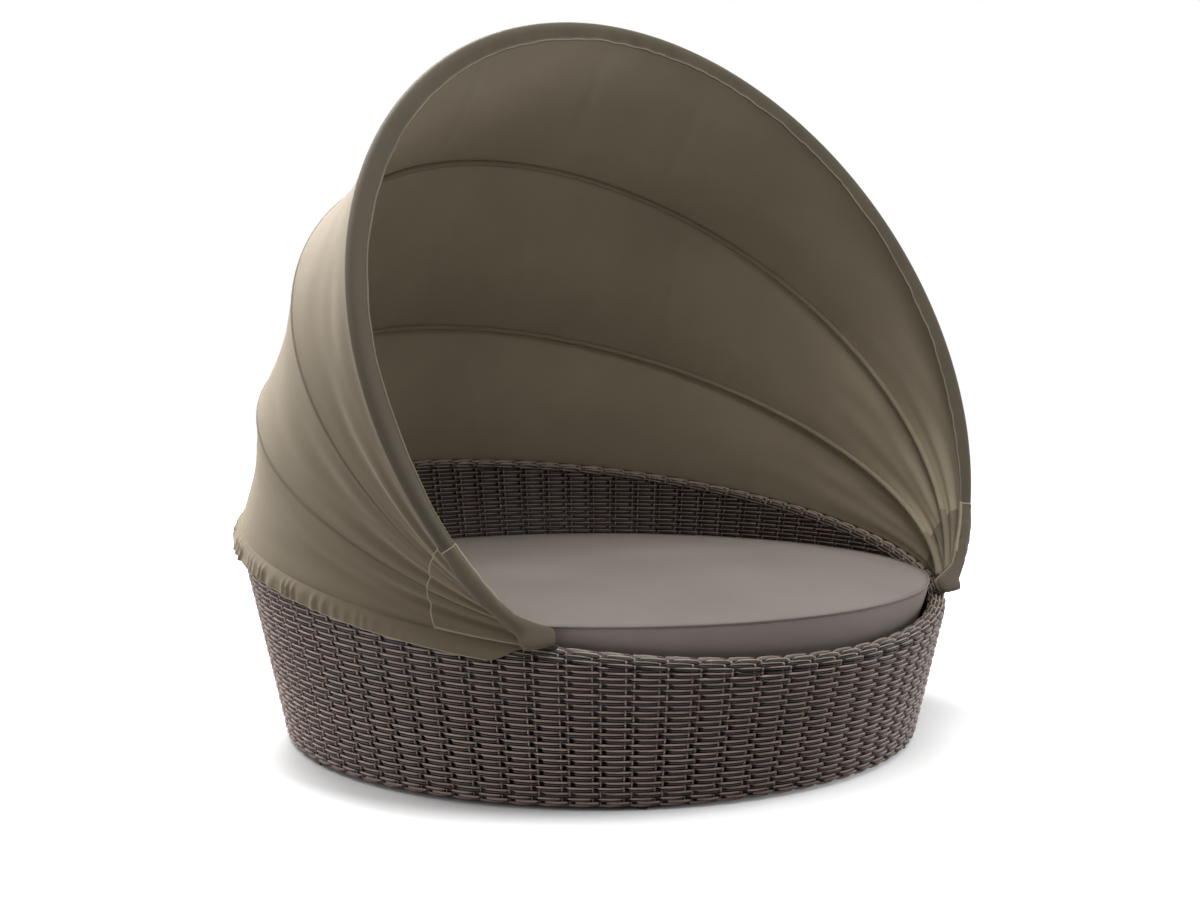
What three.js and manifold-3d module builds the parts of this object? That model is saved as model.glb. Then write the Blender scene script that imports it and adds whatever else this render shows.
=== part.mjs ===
// Round outdoor daybed: a woven basket on a tube frame, a round seat cushion, and a
// canopy of cloth on three bows that turn on one pair of pivots at the basket's rim.
// Lengths are millimetres. +Z is up, the open front faces -Y and the floor is z = 0.
// The origin is on the floor under the middle of the basket.

import * as THREE from 'three';
import { mergeVertices } from 'three/addons/utils/BufferGeometryUtils.js';
import Module from 'manifold-3d';

const wasm = await Module();
wasm.setup();

// Basket: a flared round wall with a rim that rises towards the back
const basketRadius = 774;
const wallFlareShare = 0.228;
const rimHeight = 447;
const rimSlopeShare = 0.181;
const skinDepth = 8.5;
const fit = 0.3;
const cutOver = 3;

// Tube frame, deck and feet
const frameTube = 28;
const staveCount = 12;
const deckHeight = 220;
const slatCount = 7;
const slatPitchShare = 0.2584;
const slatWidth = 60;
const slatDepth = 20;
const beamWidth = 40;
const beamDepth = 40;
const legRadius = 20;
const footRadius = 30;
const footHeight = 28;
const footFloor = 6;
const glideCount = 6;
const glideRadius = 11;
const glideHeight = 4;

// Canopy pivots: a flanged ear on the rim carries one pin for the three bow eyes
const pivotForwardShare = 0.783;
const pivotRise = 22;
const flangeRadius = 15;
const flangeDepth = 3;
const stubRadius = 7;
const earOffset = 11.5;
const earDepth = 5;
const earRadius = 11;
const pinRadius = 5;
const pinHeadRadius = 8;
const pinHeadDepth = 4;
const pinEndOver = 1.5;
const nutRadius = 9;
const nutDepth = 5;
const spacerRadius = 8;

// Bows: each one's lean from upright, the height of its top over the pins as a share of
// the basket's radius, and its tube
const frontLeanDegrees = 22.3;
const middleLeanDegrees = 43.3;
const rearLeanDegrees = 64.4;
const frontReachShare = 1.8656;
const middleReachShare = 1.9083;
const rearReachShare = 1.9251;
const frontTube = 20;
const rodTube = 12;
const frontPitch = 23;
const rodPitch = 20;
const eyeDepth = 6;
const eyeRadius = 12;
const eyeRise = 16;
const strapShare = 1.5;

// Cloth
const clothDepth = 2;
const clothClear = 0.8;
const sleeveClear = 1.4;
const sleeveWidth = 47;
const sleeveEdge = 3;
const sleeveOpenShare = 1 / 12;
const sagShare = 0.045;
const sagFade = 4;
const seamGap = 0.6;
const frontSeamSet = 16;
const hemClear = 0.6;
const hemDrop = 45;
const hemLap = 2;
const rimSeatShare = 0.3;
const patchClear = 0.5;
const patchTipRise = 4;

// Seat cushion: a zipped cover over one round foam block
const cushionFootClear = 13;
const cushionSeamClear = 8;
const cushionSideHeight = 150;
const cushionBulge = 5;
const cushionCrown = 24;
const cushionFootEase = 4;
const cushionFlatShare = 0.97;
const coverDepth = 2.5;
const zipSpanDegrees = 105;
const zipShares = [0.3, 0.62];
const pullDepth = 3;
const pullWidth = 12;
const pullHeight = 9;
const tabDepth = 1.5;
const tabWidth = 5;
const tabLength = 24;

// Facets
const ringSteps = 60;
const cushionSteps = 48;
const foamSteps = 24;
const bowSteps = 40;
const ringSides = 6;
const rodSides = 6;
const tubeSides = 8;
const pinSides = 12;
const nutSides = 6;
const footSides = 16;
const flangeSides = 24;
const panelSteps = 5;
const sleeveBackSteps = 6;
const sleeveStart = 2;
const patchStart = 3;
const patchEnd = 1;

const turn = 2 * Math.PI;
const right = Math.PI / 2;
const radians = THREE.MathUtils.degToRad;

// Colours and finishes
const wicker = { color: 0x6a5c57, roughness: 0.75, metalness: 0 };
const wickerRim = { color: 0x7d706a, roughness: 0.7, metalness: 0 };
const innerWicker = { color: 0x4b403d, roughness: 0.8, metalness: 0 };
const coatedMetal = { color: 0x3d3936, roughness: 0.5, metalness: 0.6 };
const steel = { color: 0x9a9a98, roughness: 0.35, metalness: 0.9 };
const plastic = { color: 0x242322, roughness: 0.6, metalness: 0 };
const canopyCloth = { color: 0x827a67, roughness: 0.9, metalness: 0 };
const sleeveCloth = { color: 0x6a6252, roughness: 0.9, metalness: 0 };
const cushionCloth = { color: 0x8a8079, roughness: 0.95, metalness: 0 };
const foamYellow = { color: 0xd9cfae, roughness: 1, metalness: 0 };

const daybed = new THREE.Group();

function addPiece(name, geometry, finish) {
  const mesh = new THREE.Mesh(geometry, new THREE.MeshStandardMaterial(finish));
  mesh.name = name;
  daybed.add(mesh);
  return mesh;
}

// Closed geometry to a solid for cutting and joining, and back
function solid(geometry) {
  const bare = geometry.clone();
  bare.deleteAttribute('normal');
  bare.deleteAttribute('uv');
  const merged = mergeVertices(bare);
  const vertProperties = Float32Array.from(merged.attributes.position.array);
  const triVerts = Uint32Array.from(merged.index.array);
  return new wasm.Manifold(new wasm.Mesh({ numProp: 3, vertProperties, triVerts }));
}

function surface(body) {
  const { vertProperties, triVerts } = body.getMesh();
  const geometry = new THREE.BufferGeometry();
  geometry.setAttribute('position', new THREE.BufferAttribute(vertProperties, 3));
  geometry.setIndex(new THREE.BufferAttribute(triVerts, 1));
  geometry.computeVertexNormals();
  return geometry;
}

const join = (...parts) => surface(parts.map(solid).reduce((whole, part) => whole.add(part)));

const cut = (body, ...tools) => surface(
  tools.map(solid).reduce((whole, tool) => whole.subtract(tool), solid(body)),
);

function indexed(corners, faces) {
  const geometry = new THREE.BufferGeometry().setFromPoints(corners);
  geometry.setIndex(faces);
  geometry.computeVertexNormals();
  return geometry;
}

// A closed hoop: sectionAt(angle) gives one outline, the same number of points each time
function hoop(sectionAt) {
  const sections = Array.from({ length: ringSteps }, (_, i) => sectionAt((i * turn) / ringSteps));
  const count = sections[0].length;
  const faces = [];
  for (let i = 0; i < ringSteps; i += 1) {
    for (let j = 0; j < count; j += 1) {
      const nextRow = ((i + 1) % ringSteps) * count;
      const nextPoint = (j + 1) % count;
      const a = i * count + j;
      const b = i * count + nextPoint;
      const c = nextRow + nextPoint;
      const d = nextRow + j;
      faces.push(a, d, c, a, c, b);
    }
  }
  return indexed(sections.flat(), faces);
}

// A sheet with a thickness, from a grid of outer points and a like grid of inner points
function sheet(outer, inner) {
  const rows = outer.length;
  const columns = outer[0].length;
  const faces = [];
  const at = (side, i, k) => (side * rows + i) * columns + k;
  const quad = (a, b, c, d) => faces.push(a, b, c, a, c, d);
  for (let i = 0; i + 1 < rows; i += 1) {
    for (let k = 0; k + 1 < columns; k += 1) {
      quad(at(0, i, k), at(0, i + 1, k), at(0, i + 1, k + 1), at(0, i, k + 1));
      quad(at(1, i, k), at(1, i, k + 1), at(1, i + 1, k + 1), at(1, i + 1, k));
    }
    quad(at(0, i + 1, 0), at(0, i, 0), at(1, i, 0), at(1, i + 1, 0));
    quad(at(0, i, columns - 1), at(0, i + 1, columns - 1),
      at(1, i + 1, columns - 1), at(1, i, columns - 1));
  }
  for (let k = 0; k + 1 < columns; k += 1) {
    quad(at(0, 0, k), at(0, 0, k + 1), at(1, 0, k + 1), at(1, 0, k));
    quad(at(0, rows - 1, k + 1), at(0, rows - 1, k), at(1, rows - 1, k), at(1, rows - 1, k + 1));
  }
  return indexed([...outer.flat(), ...inner.flat()], faces);
}

// A profile of [radius, height] points turned about the upright axis
function turned(profile, steps) {
  const points = profile.map(([radius, height]) => new THREE.Vector2(radius, height));
  return new THREE.LatheGeometry(points, steps).rotateX(right);
}

// A round bar along X from one place to another, and a washer likewise
function barAlongX(radius, from, to, sides = pinSides) {
  const bar = new THREE.CylinderGeometry(radius, radius, Math.abs(to - from), sides);
  return bar.rotateZ(right).translate((from + to) / 2, 0, 0);
}

function washerAlongX(inner, outer, from, to, sides = pinSides) {
  const rim = new THREE.Shape().absarc(0, 0, outer, 0, turn);
  rim.holes.push(new THREE.Path().absarc(0, 0, inner, 0, turn));
  const depth = Math.abs(to - from);
  const ring = new THREE.ExtrudeGeometry(rim, {
    depth, curveSegments: sides / 2, bevelEnabled: false,
  });
  return ring.rotateY(right).translate(Math.min(from, to), 0, 0);
}

const box = (width, depth, height) => new THREE.BoxGeometry(width, depth, height);

// Wall: every layer is placed by its level inset from the outer face
const lean = Math.atan(wallFlareShare);
const tubeRadius = frameTube / 2;
const tubeFlat = tubeRadius * Math.cos(Math.PI / ringSides);
const cavity = (frameTube + 2 * fit) / Math.cos(lean);
const wallDepth = 2 * skinDepth + cavity;
const rollRadius = wallDepth / 2;
const ringShrink = Math.cos(Math.PI / ringSteps);
const skinRadius = (z) => basketRadius + wallFlareShare * z;

function wallPoint(angle, inset, z) {
  const radius = skinRadius(z) - inset;
  return new THREE.Vector3(radius * Math.cos(angle), radius * Math.sin(angle), z);
}

// The rim lies in one sloping plane, so a layer's height there depends on its radius
function rimPoint(angle, inset, drop) {
  const level = rimHeight - drop;
  const rise = rimSlopeShare * Math.sin(angle);
  const radius = (basketRadius - inset + wallFlareShare * level) / (1 - wallFlareShare * rise);
  return new THREE.Vector3(radius * Math.cos(angle), radius * Math.sin(angle), level + rise * radius);
}

const offCentre = (centre, angle, out, up) => new THREE.Vector3(
  centre.x + out * Math.cos(angle),
  centre.y + out * Math.sin(angle),
  centre.z + up,
);

// Shares of a half turn, from the outer side over the roll to the inner side
const rollHalfShares = [0, 0.2, 0.4, 0.6, 0.8, 1];
const boreHalfShares = [1, 2 / 3, 1 / 3, 0];

const baseZ = glideHeight + fit + rollRadius * Math.sin(rollHalfShares[2] * Math.PI);
const rimCentre = (angle) => rimPoint(angle, rollRadius, rollRadius);
const baseCentre = (angle) => wallPoint(angle, rollRadius, baseZ);

function tubeSection(centre, angle, start = 0) {
  return Array.from({ length: ringSides }, (_, i) => {
    const around = start + (i * turn) / ringSides;
    return offCentre(centre, angle, tubeRadius * Math.cos(around), tubeRadius * Math.sin(around));
  });
}

// A woven roll folded over a frame ring, open on the side where the wall joins it
function rollSection(centre, angle, side) {
  const skirt = centre.z - side * tubeRadius;
  const boreRadius = (tubeRadius + 2 * fit) / Math.cos(Math.PI / ringSides);
  const outer = rollHalfShares.map((share) => {
    if (share === 0) return wallPoint(angle, 0, skirt);
    if (share === 1) return wallPoint(angle, wallDepth, skirt);
    const around = share * Math.PI;
    return offCentre(centre, angle, rollRadius * Math.cos(around),
      side * rollRadius * Math.sin(around));
  });
  const bore = boreHalfShares.map((share) => {
    const around = share * Math.PI;
    const reach = share % 1 === 0 ? cavity / 2 : boreRadius;
    return offCentre(centre, angle, reach * Math.cos(around), side * reach * Math.sin(around));
  });
  const outline = [
    ...outer,
    wallPoint(angle, skinDepth + cavity, skirt),
    ...bore,
    wallPoint(angle, skinDepth, skirt),
  ];
  return side > 0 ? outline : outline.reverse();
}

const skinTop = (angle) => rimCentre(angle).z - tubeRadius - fit;
const skinFoot = baseZ + tubeRadius + fit;

function skinSection(angle, outerInset, innerInset, foot) {
  const top = skinTop(angle);
  return [
    wallPoint(angle, outerInset, foot),
    wallPoint(angle, outerInset, top),
    wallPoint(angle, innerInset, top),
    wallPoint(angle, innerInset, foot),
  ];
}

addPiece('base_ring', hoop((a) => tubeSection(baseCentre(a), a)), coatedMetal);
addPiece('rim_ring', hoop((a) => tubeSection(rimCentre(a), a)), coatedMetal);

// Deck ring: welded inside the staves, it carries the slats, the beam and the inner skin
const deckFoot = deckHeight - slatDepth;
const deckZ = deckFoot - fit - tubeRadius;
const deckInset = skinDepth + cavity + (tubeRadius + fit) / Math.cos(lean);
const deckCentre = (angle) => wallPoint(angle, deckInset, deckZ);
addPiece('deck_ring', hoop((a) => tubeSection(deckCentre(a), a, right)), coatedMetal);

// Staves: straight tubes up the middle of the wall from the base ring to the rim ring
function addStave(index) {
  const angle = (index * turn) / staveCount;
  const foot = wallPoint(angle, rollRadius, baseZ + tubeFlat + fit + tubeRadius * Math.sin(lean));
  const headZ = rimCentre(angle).z - tubeFlat - fit - tubeRadius * (rimSlopeShare + Math.sin(lean));
  const head = wallPoint(angle, rollRadius, headZ);
  const stave = new THREE.CylinderGeometry(
    tubeRadius, tubeRadius, head.distanceTo(foot), tubeSides,
  );
  const mesh = addPiece(`stave_${index + 1}`, stave.rotateX(right), coatedMetal);
  mesh.position.copy(foot).lerp(head, 0.5);
  mesh.rotation.set(0, lean, angle, 'ZYX');
}
for (let i = 0; i < staveCount; i += 1) addStave(i);

// Slats lie on the deck ring and on one beam under the middle
const slatEndRadius = (skinRadius(deckFoot) - wallDepth) * ringShrink - 2 * fit;
for (let i = 0; i < slatCount; i += 1) {
  const y = (i - (slatCount - 1) / 2) * slatPitchShare * basketRadius;
  const reach = Math.sqrt(slatEndRadius ** 2 - (Math.abs(y) + slatWidth / 2) ** 2);
  const slat = addPiece(`slat_${i + 1}`, box(2 * reach, slatWidth, slatDepth), coatedMetal);
  slat.position.set(0, y, deckHeight - slatDepth / 2);
}
const beamTop = deckFoot - fit;
const beamEndRadius = (skinRadius(deckZ) - deckInset - tubeRadius) * ringShrink - fit;
const beamReach = Math.sqrt(beamEndRadius ** 2 - (beamWidth / 2) ** 2);
const beam = addPiece('deck_beam', box(beamWidth, 2 * beamReach, beamDepth), coatedMetal);
beam.position.set(0, 0, beamTop - beamDepth / 2);

// Middle leg in a plastic foot, and glides under the base ring
const legTop = beamTop - beamDepth - fit;
const legFoot = footFloor + fit;
const leg = new THREE.CylinderGeometry(legRadius, legRadius, legTop - legFoot, footSides);
addPiece('centre_leg', leg.rotateX(right), coatedMetal).position.z = (legTop + legFoot) / 2;
addPiece('centre_foot', turned([
  [0, 0],
  [footRadius, 0],
  [footRadius, footHeight],
  [legRadius + fit, footHeight],
  [legRadius + fit, footFloor],
  [0, footFloor],
], footSides), plastic);
for (let i = 0; i < glideCount; i += 1) {
  const place = baseCentre((i * turn) / glideCount);
  const glide = new THREE.CylinderGeometry(glideRadius, glideRadius, glideHeight, footSides);
  addPiece(`glide_${i + 1}`, glide.rotateX(right), plastic)
    .position.set(place.x, place.y, glideHeight / 2);
}

// Woven skins and the roll round the base
addPiece('outer_weave', hoop((a) => skinSection(a, 0, skinDepth, skinFoot)), wicker);
addPiece('inner_weave', hoop((a) => skinSection(a, skinDepth + cavity, wallDepth, deckFoot)),
  innerWicker);
addPiece('base_edge_roll', hoop((a) => rollSection(baseCentre(a), a, -1)), wicker);

// Pivot brackets stand on the rim's crest, square to its plane, and reach through the
// woven roll to the rim ring
const pivotY = -pivotForwardShare * basketRadius;
const crestZ = rimHeight + rimSlopeShare * pivotY;
const crestRadius = skinRadius(crestZ) - rollRadius;
const crestX = Math.sqrt(crestRadius ** 2 - pivotY ** 2);
const rimTilt = Math.atan(rimSlopeShare);
const pivotZ = crestZ + pivotRise;
const pinSide = pivotRise * Math.sin(rimTilt);
const pinUp = pivotRise * Math.cos(rimTilt);
const stubReach = (rollRadius - tubeFlat) * Math.cos(rimTilt) - stubRadius * rimSlopeShare;
const upright = (radius, from, to, sides = pinSides) => (
  new THREE.CylinderGeometry(radius, radius, to - from, sides)
    .rotateX(right).translate(0, 0, (from + to) / 2)
);
const onCrest = (geometry, side) => (
  geometry.rotateX(rimTilt).translate(side * crestX, pivotY, crestZ)
);

function pivotBracket(side) {
  const flangeTop = fit + flangeDepth;
  const earBlock = box(earDepth, 2 * earRadius, pinUp - fit - flangeDepth / 2)
    .translate(side * earOffset, pinSide, (pinUp + fit + flangeDepth / 2) / 2);
  const earFrom = side * earOffset - earDepth / 2;
  const earTop = barAlongX(earRadius, earFrom, earFrom + earDepth)
    .translate(0, pinSide, pinUp);
  const bore = barAlongX(pinRadius + fit, earFrom - cutOver, earFrom + earDepth + cutOver)
    .translate(0, pinSide, pinUp);
  const whole = join(
    upright(flangeRadius, fit, flangeTop, flangeSides),
    upright(stubRadius, fit - stubReach, flangeTop),
    earBlock,
    earTop,
  );
  return onCrest(cut(whole, bore), side);
}
const sides = [['left', -1], ['right', 1]];
for (const [word, side] of sides) {
  addPiece(`pivot_bracket_${word}`, pivotBracket(side), coatedMetal);
}

// The rim roll has a hole over each bracket's stub
const stubHole = (side) => onCrest(
  upright(stubRadius + fit, -stubReach - cutOver, cutOver), side,
);
const rimRoll = hoop((a) => rollSection(rimCentre(a), a, 1));
addPiece('rim_braid', cut(rimRoll, stubHole(-1), stubHole(1)), wickerRim);

// Places along each pin, from the ear outwards
const earInnerX = crestX + earOffset - earDepth / 2;
const earOuterX = earInnerX + earDepth;
const rearEyeX = earOuterX + fit + eyeDepth / 2;
const middleEyeX = rearEyeX + rodPitch;
const frontEyeX = middleEyeX + frontPitch;
const headX = frontEyeX + eyeDepth / 2 + fit;
const nutX = earInnerX - fit - nutDepth;

function atPivot(mesh) {
  mesh.position.set(0, pivotY, pivotZ);
}

for (const [word, side] of sides) {
  const shaft = barAlongX(pinRadius, side * (nutX - pinEndOver), side * (headX + pinHeadDepth / 2));
  const head = barAlongX(pinHeadRadius, side * headX, side * (headX + pinHeadDepth));
  atPivot(addPiece(`pivot_pin_${word}`, join(shaft, head), steel));
  const nut = cut(
    barAlongX(nutRadius, side * nutX, side * (nutX + nutDepth), nutSides),
    barAlongX(pinRadius + fit, side * (nutX - cutOver), side * (nutX + nutDepth + cutOver)),
  );
  atPivot(addPiece(`pivot_nut_${word}`, nut, steel));
  const gaps = [['inner', rearEyeX, middleEyeX], ['outer', middleEyeX, frontEyeX]];
  for (const [place, from, to] of gaps) {
    const start = side * (from + eyeDepth / 2 + fit);
    const end = side * (to - eyeDepth / 2 - fit);
    const spacer = washerAlongX(pinRadius + fit, spacerRadius, start, end);
    atPivot(addPiece(`${place}_spacer_${word}`, spacer, plastic));
  }
}

// A bow is an arc in a plane through the pins. Its eyes are flat and sit on the pins, and
// its tube starts a little above them.
class BowArc extends THREE.Curve {
  constructor(bow, from, to) {
    super();
    Object.assign(this, { bow, from, to });
  }

  getPoint(share, target = new THREE.Vector3()) {
    const around = (this.from + (this.to - this.from) * share) * this.bow.tipTurn;
    return target.set(
      this.bow.radius * Math.sin(around),
      0,
      this.bow.centre + this.bow.radius * Math.cos(around),
    );
  }
}

function makeBow(leanDegrees, reachShare, eyeX, diameter, facets) {
  const reach = reachShare * basketRadius;
  const rise = reach - eyeRise;
  const radius = (rise ** 2 + eyeX ** 2) / (2 * rise);
  const centre = reach - radius;
  const tipTurn = Math.acos((eyeRise - centre) / radius);
  const tube = diameter / 2;
  return { lean: radians(leanDegrees), radius, centre, tipTurn, eyeX, tube, facets };
}
const frontBow = makeBow(frontLeanDegrees, frontReachShare, frontEyeX, frontTube, tubeSides);
const middleBow = makeBow(middleLeanDegrees, middleReachShare, middleEyeX, rodTube, rodSides);
const rearBow = makeBow(rearLeanDegrees, rearReachShare, rearEyeX, rodTube, rodSides);

function leanBack(mesh, bow) {
  atPivot(mesh);
  mesh.rotation.x = -bow.lean;
}

function bowGeometry(bow) {
  const section = new THREE.Shape().absarc(0, 0, bow.tube, right, right + turn);
  const tube = new THREE.ExtrudeGeometry(section, {
    steps: bowSteps,
    curveSegments: bow.facets / 2,
    extrudePath: new BowArc(bow, -1, 1),
  });
  const eyes = [-1, 1].flatMap((side) => {
    const from = side * bow.eyeX - eyeDepth / 2;
    const strapTop = eyeRise + bow.tube / 2;
    return [
      barAlongX(eyeRadius, from, from + eyeDepth),
      box(eyeDepth, strapShare * bow.tube, strapTop).translate(side * bow.eyeX, 0, strapTop / 2),
    ];
  });
  const holes = [-1, 1].map((side) => {
    const from = side * bow.eyeX - eyeDepth / 2;
    return barAlongX(pinRadius + fit, from - cutOver, from + eyeDepth + cutOver);
  });
  return cut(join(tube, ...eyes), ...holes);
}
leanBack(addPiece('bow_rear', bowGeometry(rearBow), coatedMetal), rearBow);
leanBack(addPiece('bow_middle', bowGeometry(middleBow), coatedMetal), middleBow);
leanBack(addPiece('bow_front', bowGeometry(frontBow), coatedMetal), frontBow);

// Front sleeve: cloth sewn round the front bow, drawn out inwards to a thin stitched edge
function frontSleeve() {
  const bore = frontBow.tube + fit;
  const round = frontBow.tube + sleeveClear + clothDepth;
  const edgeY = sleeveWidth - round;
  const outline = [new THREE.Vector2(-sleeveEdge / 2, edgeY)];
  for (let i = 0; i <= sleeveBackSteps; i += 1) {
    const share = THREE.MathUtils.lerp(sleeveOpenShare, 1 - sleeveOpenShare, i / sleeveBackSteps);
    const around = right + share * turn;
    outline.push(new THREE.Vector2(round * Math.cos(around), round * Math.sin(around)));
  }
  outline.push(new THREE.Vector2(sleeveEdge / 2, edgeY));
  const section = new THREE.Shape(outline);
  section.holes.push(new THREE.Path().absarc(0, 0, bore, 0, turn));
  const end = 1 - (2 * sleeveStart) / bowSteps;
  return new THREE.ExtrudeGeometry(section, {
    steps: bowSteps - 2 * sleeveStart,
    curveSegments: tubeSides / 2,
    extrudePath: new BowArc(frontBow, -end, end),
  });
}
leanBack(addPiece('front_sleeve', frontSleeve(), sleeveCloth), frontBow);

// Canopy cloth. Share runs from -1 at one pin over the top to 1 at the other. Each
// lengthwise edge of a panel follows a bow, and the last one follows the rim.
function bowEdge(bow) {
  const direction = (share) => {
    const around = share * bow.tipTurn;
    return new THREE.Vector3(
      Math.sin(around),
      Math.cos(around) * Math.sin(bow.lean),
      Math.cos(around) * Math.cos(bow.lean),
    );
  };
  const point = (share) => {
    const out = bow.radius + bow.tube + clothClear + clothDepth / 2;
    return new THREE.Vector3(
      0,
      pivotY + bow.centre * Math.sin(bow.lean),
      pivotZ + bow.centre * Math.cos(bow.lean),
    ).addScaledVector(direction(share), out);
  };
  return { direction, point };
}

const rimTurn = right - Math.atan2(pivotY, crestX);
const hemTopRadius = rollRadius + hemClear + clothDepth;
const rimEdge = {
  direction: (share) => {
    const around = share * rimTurn;
    return new THREE.Vector3(
      Math.sin(around),
      Math.cos(around) * Math.cos(rimTilt),
      Math.cos(around) * Math.sin(rimTilt),
    );
  },
  point: (share) => {
    const angle = right - share * rimTurn;
    const seat = hemTopRadius + hemLap;
    const up = rimSeatShare * Math.PI;
    return offCentre(rimCentre(angle), angle, seat * Math.cos(up), seat * Math.sin(up));
  },
};
const clothEdges = [bowEdge(frontBow), bowEdge(middleBow), bowEdge(rearBow), rimEdge];
const seamSets = [[frontSeamSet, seamGap / 2], [seamGap / 2, seamGap / 2], [seamGap / 2, 0]];
const patchShare = 1 - (2 * patchStart) / bowSteps;

function clothPoint(panel, across, share) {
  const first = clothEdges[panel];
  const second = clothEdges[panel + 1];
  const start = first.point(share);
  const chord = second.point(share).sub(start);
  const length = chord.length();
  const [startSet, endSet] = seamSets[panel];
  const along = startSet + (length - startSet - endSet) * across;
  const outward = first.direction(share).lerp(second.direction(share), across).normalize();
  const fade = Math.max(0, 1 - (share / patchShare) ** sagFade);
  const sag = sagShare * length * fade * 4 * across * (1 - across);
  const place = start.addScaledVector(chord, along / length).addScaledVector(outward, -sag);
  return { place, outward };
}

const layer = (grid, offset) => grid.map((row) => row.map(({ place, outward }) => (
  place.clone().addScaledVector(outward, offset)
)));

function clothSheet(grid, from) {
  return sheet(layer(grid, from + clothDepth / 2), layer(grid, from - clothDepth / 2));
}

function canopyPanel(panel) {
  const grid = [];
  for (let i = sleeveStart; i <= bowSteps - sleeveStart; i += 1) {
    const share = (2 * i) / bowSteps - 1;
    const row = Array.from({ length: panelSteps + 1 }, (_, k) => (
      clothPoint(panel, k / panelSteps, share)
    ));
    grid.push(row);
  }
  return clothSheet(grid, 0);
}
addPiece('canopy_panel_front', canopyPanel(0), canopyCloth);
addPiece('canopy_panel_middle', canopyPanel(1), canopyCloth);
addPiece('canopy_panel_rear', canopyPanel(2), canopyCloth);

// Corner patches: a second layer over the three panels, next to each pivot
const patchAcross = [0, 1, 2].flatMap((panel) => {
  const last = panel === 2 ? panelSteps - 1 : panelSteps;
  return Array.from({ length: last }, (_, k) => [panel, (k + 1) / panelSteps]);
});

function cornerPatch(side) {
  const grid = [];
  for (let i = patchStart; i >= patchEnd; i -= 1) {
    const share = side * (1 - (2 * i) / bowSteps);
    const tipRise = i < sleeveStart ? patchTipRise : 0;
    const row = patchAcross.map(([panel, across]) => {
      const { place, outward } = clothPoint(panel, across, share);
      return { place: place.addScaledVector(outward, tipRise), outward };
    });
    grid.push(row);
  }
  return clothSheet(side > 0 ? grid : grid.reverse(), clothDepth + patchClear);
}
for (const [word, side] of sides) {
  addPiece(`corner_patch_${word}`, cornerPatch(side), canopyCloth);
}

// Hem band: the canopy's lower edge, drawn over the rim roll and down the outer skin
const hemFirstStep = -7;
const hemLastStep = 37;
const hemShares = [0, 0.2, 0.4];

function hemLine(angle, offset) {
  const centre = rimCentre(angle);
  const foot = wallPoint(angle, -offset, centre.z + rollRadius - hemDrop);
  const round = hemShares.map((share) => {
    const around = share * Math.PI;
    const reach = rollRadius + offset;
    return offCentre(centre, angle, reach * Math.cos(around), reach * Math.sin(around));
  });
  return [foot, ...round];
}

function hemBand() {
  const angles = [];
  for (let i = hemFirstStep; i <= hemLastStep; i += 1) angles.push((i * turn) / ringSteps);
  return sheet(
    angles.map((angle) => hemLine(angle, hemClear + clothDepth)),
    angles.map((angle) => hemLine(angle, hemClear)),
  );
}
addPiece('hem_band', hemBand(), canopyCloth);

// Seat cushion. The side runs from the lower seam through a slight bulge to the upper seam.
const cushionFootZ = deckHeight + fit;
const cushionSeamZ = cushionFootZ + cushionSideHeight;
const cushionFootRadius = skinRadius(cushionFootZ) - wallDepth - cushionFootClear;
const cushionSeamRadius = skinRadius(cushionSeamZ) - wallDepth - cushionSeamClear;
const sideMiddle = [
  (cushionFootRadius + cushionSeamRadius) / 2 + cushionBulge,
  (cushionFootZ + cushionSeamZ) / 2,
];
const crownShares = [[0.93, 0.45], [0.72, 0.78], [0.4, 0.95], [0, 1]];

function cushionProfile(inset) {
  const top = crownShares.map(([out, up]) => [
    out * (cushionSeamRadius - inset), cushionSeamZ + up * cushionCrown - inset,
  ]);
  return [
    [0, cushionFootZ + inset],
    [cushionFlatShare * (cushionFootRadius - inset), cushionFootZ + inset],
    [cushionFootRadius - inset, cushionFootZ + cushionFootEase + inset],
    [sideMiddle[0] - inset, sideMiddle[1]],
    [cushionSeamRadius - inset, cushionSeamZ - inset],
    ...top,
  ];
}

// Part of the lower side panel, between two shares of its height and two depths
function sideBand(lowShare, highShare, outDepth, inDepth, trim) {
  const low = [cushionFootRadius, cushionFootZ];
  const place = (share, depth) => [
    THREE.MathUtils.lerp(low[0], sideMiddle[0], share) - depth,
    THREE.MathUtils.lerp(low[1], sideMiddle[1], share),
  ];
  const zipSteps = Math.round((zipSpanDegrees / 360) * cushionSteps);
  const halfTurn = radians(zipSpanDegrees / 2) - trim / cushionSeamRadius;
  const rows = Array.from({ length: zipSteps + 1 }, (_, i) => (
    right + halfTurn * ((2 * i) / zipSteps - 1)
  ));
  const line = (depth) => rows.map((angle) => [lowShare, highShare].map((share) => {
    const [radius, z] = place(share, depth);
    return new THREE.Vector3(radius * Math.cos(angle), radius * Math.sin(angle), z);
  }));
  return sheet(line(outDepth), line(inDepth));
}
const trimShare = fit / (cushionSideHeight / 2);
const cushionOuter = turned(cushionProfile(0), cushionSteps);
const cushionInner = turned(cushionProfile(coverDepth), cushionSteps);
const zipSlot = sideBand(zipShares[0], zipShares[1], -cutOver, coverDepth + cutOver, 0);
addPiece('cushion_cover', cut(cushionOuter, cushionInner, zipSlot), cushionCloth);
addPiece('cushion_foam', turned(cushionProfile(coverDepth + 2 * fit), foamSteps), foamYellow);
addPiece('cushion_zip', sideBand(
  zipShares[0] + trimShare, zipShares[1] - trimShare, 0, coverDepth, fit,
), plastic);

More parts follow.
